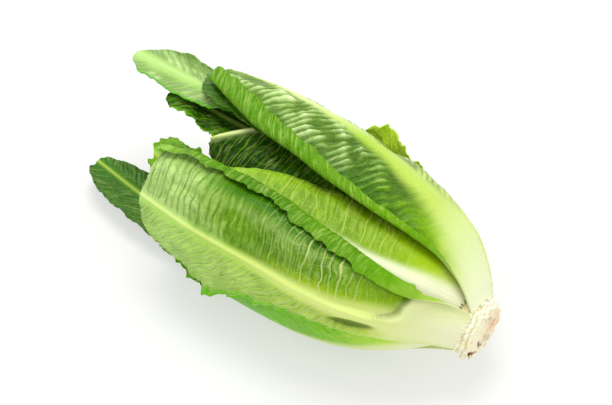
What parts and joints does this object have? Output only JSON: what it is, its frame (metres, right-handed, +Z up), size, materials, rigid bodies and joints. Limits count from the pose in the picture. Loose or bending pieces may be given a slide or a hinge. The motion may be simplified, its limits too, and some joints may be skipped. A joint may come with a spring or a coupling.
{
  "type": "romaine heart",
  "caption": "Trimmed romaine lettuce heart lying on its side: long ribbed leaves with waved, folded margins wrapped in layers round a cut stem.",
  "frame": {"origin": "centre of the bounding box's base, on the surface that the heart lies on", "axes": "+X along the heart, from the leaf tips to the cut stem; +Z up, the heart's flattest direction as it lies; +Y across it"},
  "size_m": [0.2652, 0.1376, 0.0948],
  "materials": {
    "leaf": "satin fresh leaf, pale ribs",
    "stem": "matte cut stem, cream"
  },
  "bodies": {
    "root": {"leaf_front": "leaf", "leaf_upper": "leaf", "leaf_back": "leaf", "leaf_bottom": "leaf", "leaf_low_front": "leaf", "leaf_middle": "leaf", "leaf_tucked": "leaf", "leaf_lower_back": "leaf", "leaf_long": "leaf", "leaf_hooded": "leaf", "leaf_ragged": "leaf", "leaf_crinkled": "leaf", "leaf_inner_back": "leaf", "leaf_inner_bottom": "leaf", "leaf_inner_front": "leaf", "leaf_deep_back": "leaf", "leaf_deep_front": "leaf", "leaf_deep_top": "leaf", "stem": "stem"}
  },
  "joints": []
}
